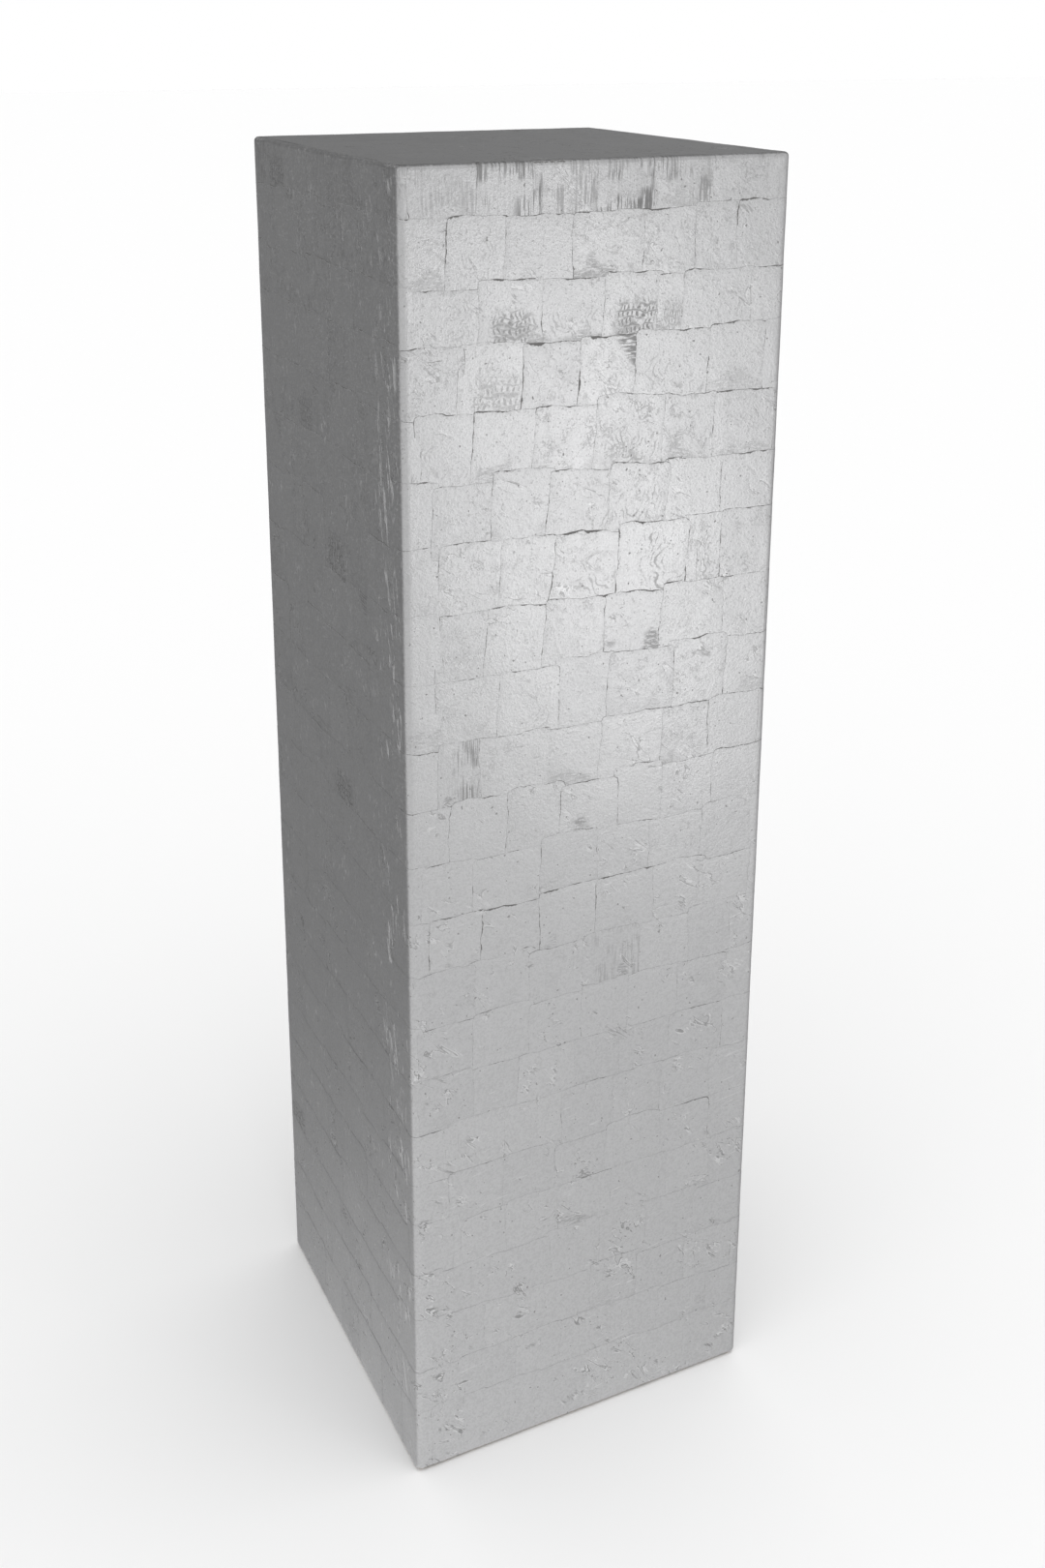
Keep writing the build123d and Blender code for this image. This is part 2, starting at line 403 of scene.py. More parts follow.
FOLDS = {"UV": None, "Seed": 0.0, "Pleats": 0.0, "Wrinkles": 0.0, "Squiggles": 0.0, "Tear": 0.0}


@effect("Pleats and crumples", FOLDS, ("Mark",))
def pleats_and_crumples(t, given):
    """Upright pleats, wrinkles along a leaf's lower edge, fine squiggles, and a torn upper corner."""
    own = own_noise(t, given, 2.3, 1.9)
    u, v, _ = t.split(given["UV"])
    patch = t.noise(own, 2.6, 1.0)
    pleat = t.step(t.noise(t.stretch(own, (26.0, 1.5, 1.0)), 1.0, 3.0, 0.65, 0.3), 0.47, 0.58)
    gathered = t.step(t.times_plus(u, 0.25, patch), 0.54, 0.72)
    pleats = t.times(pleat, t.times_plus(gathered, 0.88, 0.12), given["Pleats"])
    low = t.step(t.times_plus(t.minus(patch, 0.5), 1.5, v), 0.30, 0.08)
    crumple = t.step(t.noise(t.stretch(own, (7.0, 38.0, 1.0)), 1.0, 4.0, 0.7, 0.9), 0.46, 0.55)
    wrinkles = t.times(crumple, low, given["Wrinkles"], 0.7)
    curl = t.noise(own, 6.0, 3.0, 0.62, 1.4)
    line = t.math("ABSOLUTE", t.times_plus(curl, 2.0, -1.0))
    here = t.step(t.noise(own, 4.3, 1.0), 0.44, 0.62)
    squiggles = t.times(t.step(line, 0.075, 0.02), here, given["Squiggles"])
    corner = t.plus(t.minus(1.0, u), t.times(t.minus(1.0, v), 0.8))
    rays = t.step(t.noise(t.stretch(own, (4.0, 38.0, 1.0), (0, 0, 0.9))), 0.44, 0.54)
    torn = t.times(rays, t.step(corner, 0.52, 0.36), given["Tear"])
    return (t.most(pleats, wrinkles, squiggles, torn),)


@effect("Arris wear and crease highlights", {"Vector": None, "Reach": 2.2 * MM}, ("Bare", "Painted Lit Crease", "Side"))
def arris_wear_and_highlights(t, given):
    """Bare ground where the leaf is rubbed through along the outer edges, creases beside the front uprights
    that the leaf paints bright as highlights, and which walls are the left and right ones."""
    point = given["Vector"]
    _, y, z = t.split(point)
    from_side, from_face, from_top = depths(t, point)
    from_upright = t.most(from_side, from_face)
    top_arris = t.most(from_top, t.least(from_side, from_face))
    nearest = t.least(from_upright, top_arris, t.minus(z, WALL_BOTTOM))
    patch = t.noise(point, 17.0, 3.0, 0.6)
    chip = t.noise(point, 420.0, 3.0, 0.6)
    reach = t.times(given["Reach"], t.step(patch, 0.50, 0.68))
    torn = t.times_plus(t.minus(chip, 0.5), 6.0 * MM, nearest)
    bare = t.math("MULTIPLY", t.minus(reach, torn), 900.0, clamp=True)
    leant = t.stretch(t.stretch(point, turn=(0.22, 0, 0)), (170.0, 170.0, 30.0))
    # creases on the front halves of the side walls, near the front uprights; the leaf paints them bright as
    # highlights
    crease_painted_lit = t.step(t.noise(leant, 1.0, 4.0, 0.62, 0.5), 0.56, 0.62)
    beside = t.times(t.step(from_upright, 0.095, 0.025), t.step(patch, 0.48, 0.57))
    on_side = t.step(t.minus(from_face, from_side), 4 * MM, 12 * MM)
    return bare, t.times(crease_painted_lit, beside, on_side, t.step(y, 0.0, -0.05)), on_side


@effect("Light scratches", {"Vector": None}, ("Scratch",))
def light_scratches(t, given):
    """Thin bright scratches in a few patches, mostly level."""
    drawn = t.stretch(t.stretch(given["Vector"], turn=(0, 0.16, 0)), (42.0, 42.0, 520.0))
    streak = t.step(t.noise(drawn, 1.0, 2.0, 0.5, 0.5), 0.62, 0.72)
    return (t.times(streak, t.step(t.noise(given["Vector"], 13.0), 0.52, 0.66)),)


@effect("Stray wrinkles", {"Vector": None, "Amount": 1.0}, ("Dark", "Light", "Speck"))
def stray_wrinkles(t, given):
    """Thin wrinkles that wander over the leaf in patches, each a line of painted shade beside a line of
    painted highlight, and dark specks.
    """
    point = given["Vector"]
    drawn = t.stretch(t.stretch(point, turn=(0, -0.7, 0)), (20.0, 40.0, 58.0))
    wander = t.noise(drawn, 1.0, 4.0, 0.60, 0.8)
    patch = t.step(t.noise(point, 17.0, 3.0, 0.65), 0.50, 0.58)
    strength = t.times(patch, t.step(t.noise(point, 70.0), 0.40, 0.56), given["Amount"])
    # the dark line is painted shade, and the light line beside it a painted highlight
    dark = t.step(t.math("ABSOLUTE", t.minus(wander, 0.50)), 0.014, 0.003)
    light = t.step(t.math("ABSOLUTE", t.minus(wander, 0.525)), 0.013, 0.003)
    speck = t.step(t.noise(point, 250.0, 1.0), 0.74, 0.77)
    return t.times(dark, strength), t.times(light, strength), speck


TIMBER = {"Vector": None, "Ring Spacing": 2.6 * MM, "Pith": 0.09}


@effect("Wood grain", TIMBER, ("Late Wood", "Fibre", "Pore"))
def wood_grain(t, given):
    """Growth rings, fibres and pores of a timber whose grain runs along Z of the vector given."""
    point = given["Vector"]
    x, y, _ = t.split(point)
    bend = t.minus(t.noise(t.stretch(point, (9.0, 9.0, 1.6))), 0.5)
    off_x = t.plus(x, given["Pith"])
    off_y = t.plus(y, t.times(given["Pith"], 0.6))
    radius = t.math("SQRT", t.plus(t.times(off_x, off_x), t.times(off_y, off_y)))
    rings = t.math("FRACT", t.math("DIVIDE", t.times_plus(bend, 0.012, radius), given["Ring Spacing"]))
    late = t.times(t.step(rings, 0.35, 0.92), t.step(rings, 1.0, 0.94))
    fibre = t.noise(t.stretch(point, (900.0, 900.0, 22.0)), 1.0, 3.0, 0.6)
    pore = t.step(t.noise(t.stretch(point, (1500.0, 1500.0, 160.0)), 1.0, 1.0), 0.66, 0.72)
    return late, fibre, pore


@effect("Pressed fibres", {"Vector": None}, ("Cloud", "Fibre", "Dark Fibre"))
def pressed_fibres(t, given):
    """The mottle of pressed fibreboard: short fibres over soft clouds."""
    point = given["Vector"]
    dark = t.step(t.noise(point, 1300.0, 1.0), 0.66, 0.72)
    return t.noise(point, 55.0, 3.0, 0.6), t.noise(point, 900.0, 3.0, 0.7, 1.2), dark


# ---------------------------------------------------------------- finishes


def new_material(name):
    """An empty material with a Principled shader. Returns the material, its tree tools and the shader."""
    material = bpy.data.materials.new(name)
    material.use_nodes = True
    material.node_tree.nodes.clear()
    tree = Tree(material.node_tree)
    shader = tree.node("ShaderNodeBsdfPrincipled")
    tree.node("ShaderNodeOutputMaterial", {0: shader.outputs[0]})
    return material, tree, shader


def named_finish(name, wire, *options):
    """The material of that name, made if it isn't there yet.

    wire gets its tree, the object coordinates and the options, and returns what feeds the shader's sockets
    and the height of the surface in millimetres.
    """
    if name in bpy.data.materials:
        return bpy.data.materials[name]
    material, t, shader = new_material(name)
    sockets, height = wire(t, t.node("ShaderNodeTexCoord").outputs["Object"], *options)
    bump = t.node("ShaderNodeBump", {"Height": height, "Strength": 1.0, "Distance": MM})
    for socket, value in {**sockets, "Normal": bump.outputs[0]}.items():
        t.feed(shader.inputs[socket], value)
    return material


def silver_leaf(t, point, look):
    """Lacquered silver leaf on dark bole."""

    def of_leaf(name):
        return t.node("ShaderNodeAttribute", attribute_name=f"leaf_{name}").outputs["Fac"]

    tone, rub = of_leaf("tone"), of_leaf("rub")
    own = {"UV": t.node("ShaderNodeUVMap", uv_map="leaf").outputs[0], "Seed": of_leaf("seed")}
    grain = fine_grain_and_glints(t, Vector=point)
    rim = leaf_rim(t, Open=of_leaf("open"), **own)
    arcs = burnish_arcs(t, Amount=of_leaf("arcs"), **own)["Mark"]
    hatch = cross_hatch(t, Amount=of_leaf("hatch"), **own)["Mark"]
    folded = {name: of_leaf(name.lower()) for name in ("Pleats", "Wrinkles", "Squiggles", "Tear")}
    folds = pleats_and_crumples(t, **own, **folded)["Mark"]
    edge_wear_and_highlights = arris_wear_and_highlights(t, Vector=point)
    scratch = light_scratches(t, Vector=point)["Scratch"]
    stray = stray_wrinkles(t, Vector=point)
    # stray wrinkles show less where the leaf is rubbed
    quiet = t.times_plus(rub, -0.6, 1.0)
    mark = t.most(arcs, hatch, folds, t.times(stray["Dark"], quiet))

    # pinholes gather where the leaf was rubbed and near its rim
    rubbed = t.most(mark, t.times(t.step(rim["Distance"], 5.0, 0.3), 0.30))
    worn = t.times(t.times_plus(rubbed, 0.5, 0.5), rub)
    pinhole = t.step(t.times_plus(worn, 0.10, grain["Speck"]), 0.60, 0.70)
    pinhole = t.most(t.times(pinhole, rub, 0.38), t.times(stray["Speck"], 0.7))
    # bare ground from wear and pinholes, with the seam gaps, which are partly painted shade
    bare = t.most(rim["Gap"], edge_wear_and_highlights["Bare"], pinhole)

    bole = tuple(look.bole)
    shade = t.mix(tone, tuple(look.dull_silver), tuple(look.silver))
    shade = t.mix(t.step(grain["Speck"], 0.64, 0.36, 0.0, 0.15), shade, bole)
    # the marks darken towards the bole: partly the ground showing through, partly painted shade in their
    # grooves and the stray wrinkles' painted shade
    shade = t.mix(t.times(mark, 0.62), shade, bole)
    scratched = t.times(scratch, t.times_plus(rub, -0.6, 0.6))
    # the stray wrinkles' light line, a painted highlight
    painted_wrinkle_light = t.times(stray["Light"], quiet, 0.6)
    # painted glints: the spots go towards near white, more on the left and right walls
    painted_glints = t.times(grain["Glint Spots"], t.times_plus(edge_wear_and_highlights["Side"], 0.80, 0.05))
    # painted highlights: the lit creases, the stray wrinkles' light line and the glint spots go towards near
    # white, and so do the bright scratches
    shade = t.mix(t.most(scratched, edge_wear_and_highlights["Painted Lit Crease"], painted_wrinkle_light, painted_glints), shade, (0.99, 0.99, 0.995))

    gloss = t.times_plus(tone, 0.10, t.times(grain["Slow"], 0.40))
    gloss = t.times_plus(grain["Ripple"], 0.20, gloss)
    dulled = t.times_plus(rubbed, t.times(rub, 0.45), t.times(mark, 0.3))
    dulled = t.most(bare, dulled, t.times(t.most(edge_wear_and_highlights["Painted Lit Crease"], painted_glints), 0.8))

    height = t.times(grain["Speck"], t.times_plus(rub, 0.20, 0.08))
    height = t.times_plus(grain["Ripple"], t.times_plus(rub, 0.10, 0.07), height)
    height = t.plus(height, t.step(rim["Distance"], 0.0, 9.0, 0.0, 0.08))
    # the edge of the leaf beneath prints through
    height = t.minus(height, t.step(rim["Distance"], 5.2, 6.2, 0.0, 0.02))
    for part, rise in ((mark, -0.10), (bare, -0.05), (edge_wear_and_highlights["Painted Lit Crease"], 0.9)):
        height = t.times_plus(part, rise, height)
    sockets = {
        "Base Color": t.mix(bare, shade, bole),
        "Metallic": t.minus(1.0, bare),
        "Roughness": t.between(dulled, t.between(gloss, 0.375, 0.23), 0.64),
    }
    return sockets, height


def pine(t, point, turn):
    """Planed pine whose grain runs along Z once turned."""
    grain = wood_grain(t, Vector=t.stretch(point, turn=turn))
    shade = t.mix(grain["Late Wood"], (0.74, 0.56, 0.34), (0.52, 0.30, 0.13))
    shade = t.mix(t.times(grain["Fibre"], 0.35), shade, (0.80, 0.66, 0.46))
    height = t.times_plus(grain["Late Wood"], 0.05, t.times(grain["Fibre"], 0.06))
    return {"Base Color": shade, "Roughness": t.between(grain["Fibre"], 0.72, 0.52)}, height


def beech(t, point):
    """Planed beech: fine close rings flecked with short dark pores."""
    grain = wood_grain(t, Vector=point, Ring_Spacing=1.1 * MM, Pith=0.2)
    shade = t.mix(grain["Late Wood"], (0.62, 0.40, 0.24), (0.52, 0.31, 0.17))
    shade = t.mix(t.times(grain["Pore"], 0.6), shade, (0.26, 0.13, 0.07))
    height = t.times_plus(grain["Pore"], -0.05, t.times(grain["Fibre"], 0.03))
    return {"Base Color": shade, "Roughness": t.between(grain["Fibre"], 0.62, 0.46)}, height


def birch_plywood(t, point):
    """Birch plywood: veneers with crossed grain show on its edges and a flowing figure on its faces."""
    _, _, z = t.split(point)
    level = t.stretch(point, turn=(0, math.pi / 2, 0))
    grain = wood_grain(t, Vector=level, Ring_Spacing=7.0 * MM, Pith=0.02)
    crossed = t.math("FRACT", t.math("DIVIDE", z, 3.0 * MM))
    end_grain = t.step(crossed, 0.48, 0.54)
    glue = t.times(t.step(t.math("ABSOLUTE", t.minus(crossed, 0.5)), 0.05, 0.01), 0.8)
    shade = t.mix(grain["Late Wood"], (0.76, 0.60, 0.40), (0.66, 0.48, 0.30))
    shade = t.mix(t.times(end_grain, 0.45), shade, (0.50, 0.34, 0.20))
    shade = t.mix(glue, shade, (0.24, 0.13, 0.07))
    height = t.times_plus(glue, -0.04, t.times(grain["Fibre"], 0.04))
    return {"Base Color": shade, "Roughness": t.between(grain["Fibre"], 0.70, 0.50)}, height


def raw_fibreboard(t, point):
    """Raw fibreboard: brown, mottled and dull."""
    pressed = pressed_fibres(t, Vector=point)
    shade = t.mix(pressed["Cloud"], (0.40, 0.27, 0.16), (0.54, 0.39, 0.25))
    shade = t.mix(t.times(pressed["Fibre"], 0.4), shade, (0.62, 0.48, 0.33))
    shade = t.mix(t.times(pressed["Dark Fibre"], 0.7), shade, (0.14, 0.08, 0.04))
    rough = t.between(pressed["Fibre"], 0.92, 0.74)
    return {"Base Color": shade, "Roughness": rough}, t.times(pressed["Fibre"], 0.08)


def bole_on_fibreboard(t, point, look):
    """A board that is raw inside, with brushed dark bole over its outside under the leaf."""
    raw, raw_height = raw_fibreboard(t, point)
    from_skin = t.least(*depths(t, point))
    ragged = t.times(t.minus(t.noise(point, 260.0, 3.0, 0.6), 0.5), 1.6 * MM)
    coated = t.step(t.plus(from_skin, ragged), 3.2 * MM, 2.4 * MM)
    brushed = t.noise(t.stretch(point, (260.0, 260.0, 9.0)), 1.0, 3.0, 0.6)
    bole = t.mix(brushed, tuple(look.bole), (0.21, 0.205, 0.20))
    sockets = {
        "Base Color": t.mix(coated, raw["Base Color"], bole),
        "Roughness": t.between(coated, raw["Roughness"], t.between(brushed, 0.62, 0.46)),
    }
    return sockets, t.between(coated, raw_height, t.times(brushed, 0.05))


def black_nylon(t, point):
    """Moulded black nylon with a fine spark texture and scuffs where it slides."""
    _, _, z = t.split(point)
    spark = t.noise(point, 1900.0)
    scuff = t.step(t.noise(point, 240.0, 4.0, 0.7, 1.5), 0.56, 0.68)
    worn = t.times(scuff, t.step(z, 5.0 * MM, 3.0 * MM))
    shade = t.mix(worn, (0.030, 0.030, 0.032), (0.13, 0.13, 0.13))
    rough = t.between(worn, t.between(spark, 0.34, 0.48), 0.7)
    return {"Base Color": shade, "Roughness": rough}, t.times_plus(worn, -0.03, t.times(spark, 0.03))


def wool_felt(t, point):
    """Pressed wool felt: tangled fibres in several greys."""
    tangle = t.noise(point, 1100.0, 4.0, 0.7, 2.2)
    tuft = t.noise(point, 300.0, 2.0, 0.6, 0.8)
    stray = t.step(t.noise(point, 620.0, 2.0, 0.5, 3.0), 0.60, 0.66)
    shade = t.mix(tangle, (0.075, 0.075, 0.08), (0.23, 0.23, 0.235))
    shade = t.mix(t.times(tuft, 0.4), shade, (0.12, 0.12, 0.125))
    shade = t.mix(t.times(stray, 0.5), shade, (0.42, 0.41, 0.40))
    sockets = {"Base Color": shade, "Roughness": t.between(tangle, 0.96, 0.84), "Sheen Weight": 0.4}
    return sockets, t.times_plus(tangle, 0.25, t.times(tuft, 0.2))


def zinc_plate(t, point):
    """Bright zinc plate with a faint spangle and turning marks."""
    spangle = t.noise(point, 420.0, 1.0, 0.5, 0.6)
    turning = t.noise(t.stretch(point, (60.0, 60.0, 2600.0)), 1.0, 1.0)
    tarnish = t.step(t.noise(point, 150.0, 3.0, 0.6), 0.52, 0.70)
    shade = t.mix(spangle, (0.66, 0.67, 0.69), (0.80, 0.81, 0.83))
    shade = t.mix(t.times(tarnish, 0.4), shade, (0.42, 0.42, 0.40))
    rough = t.between(tarnish, t.between(turning, 0.22, 0.34), 0.5)
    return {"Base Color": shade, "Metallic": 1.0, "Roughness": rough}, t.times(turning, 0.015)


# ---------------------------------------------------------------- the leaf


def uneven_ground(rng):
    """A repeatable smooth rise and fall over a surface: a sum of a few waves, limited both ways."""
    waves = []
    for _ in range(WAVES):
        pace = math.tau / (WAVE_LENGTH * rng.uniform(0.6, 1.8))
        turn = rng.uniform(0, math.tau)
        waves.append((pace * math.cos(turn), pace * math.sin(turn), rng.uniform(0, math.tau)))

    def field(u, v):
        total = sum(np.sin(a * u + b * v + c) for a, b, c in waves)
        return WAVE_LIMIT * np.tanh(total / math.sqrt(WAVES) / WAVE_LIMIT)

    return field


class WallSurface:
    """The outside of the walls unrolled: u runs round the pedestal from the front's left end, v up it."""

    def __init__(self):
        self.radius = CORNER_RADIUS
        arc = math.pi / 2 * self.radius
        self.straights = (WIDTH - 2 * self.radius, DEPTH - 2 * self.radius) * 2
        self.starts = [0.0]
        for length in self.straights:
            self.starts.append(self.starts[-1] + length + arc)
        self.perimeter = self.starts.pop()
        self.foot_arc = math.pi / 2 * BOTTOM_EDGE_RADIUS
        self.v_upright = self.foot_arc + HEIGHT - TOP_EDGE_RADIUS - WALL_BOTTOM - BOTTOM_EDGE_RADIUS
        self.v_flat = self.v_upright + math.pi / 2 * TOP_EDGE_RADIUS
        # a quarter round is shorter along its arc than along the square corner that it replaces
        self.squeeze_top = self.v_flat - (self.v_upright + TOP_EDGE_RADIUS)
        self.half_corner = arc / 2

    def row_cuts(self, seams, pitch, rng):
        """Where one row is cut into leaves, once round, from the front's left corner."""
        start = -self.half_corner
        cuts = [start + seam * MM for seam in seams] if seams else []
        first = cuts[0] if cuts else start + rng.uniform(0.05, 0.95) * pitch
        last = cuts[-1] if cuts else first
        left = first + self.perimeter - last
        count = round(left / pitch)
        more = last + left / count * (np.arange(1, count) + rng.uniform(-0.04, 0.04, count - 1))
        return np.concatenate([cuts or [first], more, [first + self.perimeter]])

    def face_at(self, u):
        """Which face a point belongs to, counted from the front."""
        return int(((u + self.half_corner) % self.perimeter) / (self.perimeter / 4)) % 4

    def bends_under(self, u0, u1):
        """The rounded corners that a stretch round the pedestal crosses."""
        arc = 2 * self.half_corner
        found = []
        for start, length in zip(self.starts, self.straights):
            for turn in (-self.perimeter, 0.0, self.perimeter):
                low = start + length + turn
                if u1 > low and u0 < low + arc:
                    found.append((low, low + arc))
        return found

    def edges_under(self, v0, v1):
        """The rounded edges at the foot and the top that a stretch up the wall crosses."""
        found = []
        if v0 < self.foot_arc:
            found.append((0.0, self.foot_arc))
        if v1 > self.v_upright:
            found.append((self.v_upright, self.v_flat))
        return found

    def plan(self, u, out):
        """Points in plan at distance u round the pedestal, moved outwards."""
        u = np.mod(u, self.perimeter)
        x, y = np.zeros_like(u), np.zeros_like(u)
        r = self.radius
        for k, (start, length) in enumerate(zip(self.starts, self.straights)):
            turn = math.pi / 2 * k
            ahead = (math.cos(turn), math.sin(turn))
            away = (math.sin(turn), -math.cos(turn))
            reach = (DEPTH if k % 2 == 0 else WIDTH) / 2
            here = (u >= start) & (u < start + length)
            along = u[here] - start - length / 2
            x[here] = ahead[0] * along + away[0] * (reach + out[here])
            y[here] = ahead[1] * along + away[1] * (reach + out[here])
            bend = (u >= start + length) & (u <= start + length + math.pi / 2 * r)
            angle = turn - math.pi / 2 + (u[bend] - start - length) / r
            centre = [a * length / 2 + b * (reach - r) for a, b in zip(ahead, away)]
            x[bend] = centre[0] + (r + out[bend]) * np.cos(angle)
            y[bend] = centre[1] + (r + out[bend]) * np.sin(angle)
        return x, y

    def points(self, u, v, lift):
        """Points on the surface at (u, v), lifted off it."""
        foot = np.clip(v / BOTTOM_EDGE_RADIUS, 0, math.pi / 2)
        over = np.clip((v - self.v_upright) / TOP_EDGE_RADIUS, 0, math.pi / 2)
        flat = np.maximum(v - self.v_flat, 0)
        climb = np.clip(v - self.foot_arc, 0, self.v_upright - self.foot_arc)
        out = -BOTTOM_EDGE_RADIUS * (1 - np.sin(foot)) - TOP_EDGE_RADIUS * (1 - np.cos(over)) - flat
        z = WALL_BOTTOM + BOTTOM_EDGE_RADIUS * (1 - np.cos(foot)) + climb + TOP_EDGE_RADIUS * np.sin(over)
        out = out + lift * np.where(v < self.foot_arc, np.sin(foot), np.cos(over))
        z = z + lift * np.where(v < self.foot_arc, -np.cos(foot), np.sin(over))
        x, y = self.plan(u, out)
        return np.stack([x, y, z], axis=1)


class TopSurface:
    """The flat of the top, u along X and v along Y, both from the middle."""

    def points(self, u, v, lift):
        return np.stack([u, v, HEIGHT + lift], axis=1)


def blank_leaf(columns, rows):
    """One uncut square of leaf as a grid from -1 to 1, with its own UV map."""
    bpy.ops.object.select_all(action="DESELECT")
    bpy.ops.mesh.primitive_grid_add(x_subdivisions=columns, y_subdivisions=rows, size=2, location=(0, 0, 0))
    blank = bpy.context.active_object
    blank.name = "blank"
    blank.data.uv_layers[0].name = "leaf"
    return blank


def grid_points(mesh):
    """Where the mesh's vertices are, one to a row."""
    found = np.empty(len(mesh.vertices) * 3, np.float32)
    mesh.vertices.foreach_get("co", found)
    return found.reshape(-1, 3).astype(float)


def crowd(values, low, high, share):
    """Moves evenly spaced values from -1 to 1 so that a share of them falls between low and high."""
    low, high = max(low, -0.999), min(high, 0.999)
    if high <= low:
        return values
    outside = 2 * (1 - share)
    first = -1 + outside * (low + 1) / ((low + 1) + (1 - high))
    return np.interp(values, (-1, first, first + 2 * share, 1), (-1, low, high, 1))


def torn_outline(x, y, rng):
    """A square from -1 to 1 with rounded corners and wavy edges."""
    power = rng.uniform(9, 26)
    span = np.maximum(np.maximum(np.abs(x), np.abs(y)), 1e-9)
    ring = (np.abs(x) ** power + np.abs(y) ** power + 1e-30) ** (1 / power)
    pull = span / np.maximum(ring, 1e-9)
    x, y = x * pull, y * pull
    starts = rng.uniform(0, math.tau, 6)
    size = rng.uniform(0.010, 0.034)

    def wave(along, paces, starts):
        waves = zip((1.0, 0.5, 0.3), paces, starts)
        return sum(height * np.sin(pace * along + start) for height, pace, start in waves)

    wave_x = wave(y, (3.1, 9.7, 19), starts[:3])
    wave_y = wave(x, (3.4, 8.9, 18), starts[3:])
    return x + size * x**6 * np.sign(x) * wave_x, y + size * y**6 * np.sign(y) * wave_y


def soft_limit(values, low, high):
    """Keeps values between two limits without letting two of them meet."""
    values = np.where(values > high, high + (values - high) * 0.02, values)
    return np.where(values < low, low + (values - low) * 0.02, values)


def lay_leaf(blank, surface, leaf, ground, limits, rng):
    """Copies the blank, cuts and turns it, and lays it on a surface. Returns the new object."""
    mesh = blank.data.copy()
    grid = grid_points(mesh)
    half_u, half_v = leaf["size"][0] / 2, leaf["size"][1] / 2
    x, y = grid[:, 0], grid[:, 1]
    at_u, at_v = leaf["at"]
    for low, high in leaf.get("bends_u", ()):
        x = crowd(x, (low - at_u) / half_u, (high - at_u) / half_u, CORNER_SHARE)
    for low, high in leaf.get("bends_v", ()):
        y = crowd(y, (low - at_v) / half_v, (high - at_v) / half_v, EDGE_SHARE)
    share_u, share_v = (x + 1) / 2, (y + 1) / 2
    pillow = PILLOW * (1 - x**2) * (1 - y**2)
    x, y = torn_outline(x, y, rng)
    a = leaf["turn"]
    u = at_u + x * half_u * math.cos(a) - y * half_v * math.sin(a)
    v = at_v + x * half_u * math.sin(a) + y * half_v * math.cos(a)
    u = soft_limit(u, *limits[0])
    v = soft_limit(v, *limits[1])
    left, right, low, high = leaf["lifts"]
    lift = left + (right - left) * share_u + low + (high - low) * share_v
    places = surface.points(u, v, LEAST_LIFT + lift + pillow + UNEVEN * ground(u, v))
    mesh.vertices.foreach_set("co", places.astype(np.float32).ravel())
    corners = np.empty(len(mesh.loops), np.int32)
    mesh.loops.foreach_get("vertex_index", corners)
    uv = np.stack([share_u[corners], share_v[corners]], axis=1)
    mesh.uv_layers["leaf"].data.foreach_set("uv", uv.astype(np.float32).ravel())
    for name, value in leaf["marks"].items():
        made = mesh.attributes.new(f"leaf_{name}", "FLOAT", "POINT")
        made.data.foreach_set("value", np.full(len(places), value, np.float32))
    made = bpy.data.objects.new("leaf", mesh)
    bpy.context.scene.collection.objects.link(made)
    return made


def sometimes(rng, chance, least, most):
    """A number from least to most at the chance given, and otherwise nothing."""
    drawn, amount = rng.random(), rng.uniform(least, most)
    return amount if drawn < chance else 0.0


def leaf_marks(rng, age, shown=1.0):
    """What the finish reads of a leaf. age runs from 1 for rubbed leaves near the top to 0 near the foot."""
    return {
        "seed": rng.uniform(0, 40),
        "tone": float(np.clip(rng.normal(0.5, 0.26), 0, 1)),
        "rub": shown * (0.15 + 0.85 * age),
        "open": shown * (0.20 * rng.random() ** 2 + 0.82 * age**1.3 * rng.uniform(0.6, 1.2)),
        "arcs": sometimes(rng, 0.45, 0.10, 0.30) * age,
        "hatch": 0.0,
        "pleats": 0.0,
        "wrinkles": sometimes(rng, 0.25 + 0.10 * age, 0.15, 0.30 + 0.20 * age),
        "squiggles": sometimes(rng, 0.5, 0.1, 0.45) * age,
        "tear": 0.0,
    }


def finish_sheet(name, leaves, thickness, material):
    """Joins laid leaves into one piece, gives them their thickness and the leaf finish."""
    bpy.ops.object.select_all(action="DESELECT")
    for leaf in leaves:
        leaf.select_set(True)
    bpy.context.view_layer.objects.active = leaves[0]
    bpy.ops.object.join()
    piece = bpy.context.active_object
    piece.name = name
    piece.data.name = name
    solid = piece.modifiers.new("thickness", "SOLIDIFY")
    solid.thickness = thickness
    solid.offset = 1.0
    bpy.ops.object.modifier_apply(modifier=solid.name)
    bpy.ops.object.shade_smooth_by_angle(angle=math.radians(50))
    piece.data.materials.clear()
    piece.data.materials.append(material)
    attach(piece, ROOT)
    return piece


# The front's rows from the top down: how far each row's foot is below the top, and its upright seams from
# the left edge, in millimetres. Rows without seams fall at random.
FRONT_ROWS = (
    (42, (10, 66, 122, 165, 222, 275, 330)),
    (95, (40, 90, 149, 208, 262, 302)),
    (141, (8, 67, 118, 178, 227, 252, 317)),
    (197, (50, 105, 156, 208, 278, 333)),
    (250, (12, 62, 116, 172, 230, 285, 340)),
    (303, (27, 79, 129, 185, 237, 295)),
    (362, (32, 86, 134, 195, 258, 296, 350)),
    (418, (28, 73, 126, 178, 239, 295)),
    (475, (27, 84, 136, 188, 247, 300)),
    (528, (29, 68, 127, 182, 243, 290, 343)),
    (580, (39, 92, 143, 195, 245, 297)),
    (630, (13, 61, 125, 175, 233, 287, 340)),
    (682, (20, 68, 124, 180, 239, 287, 341)),
    (735, (5, 57, 115, 168, 220, 277, 323)),
    (785, (8, 60, 115, 167, 215, 267, 315)),
    (835, (2, 55, 104, 155, 207, 260, 312)),
    *((foot, ()) for foot in (887, 935, 985, 1037, 1088, 1135, 1200)),
)

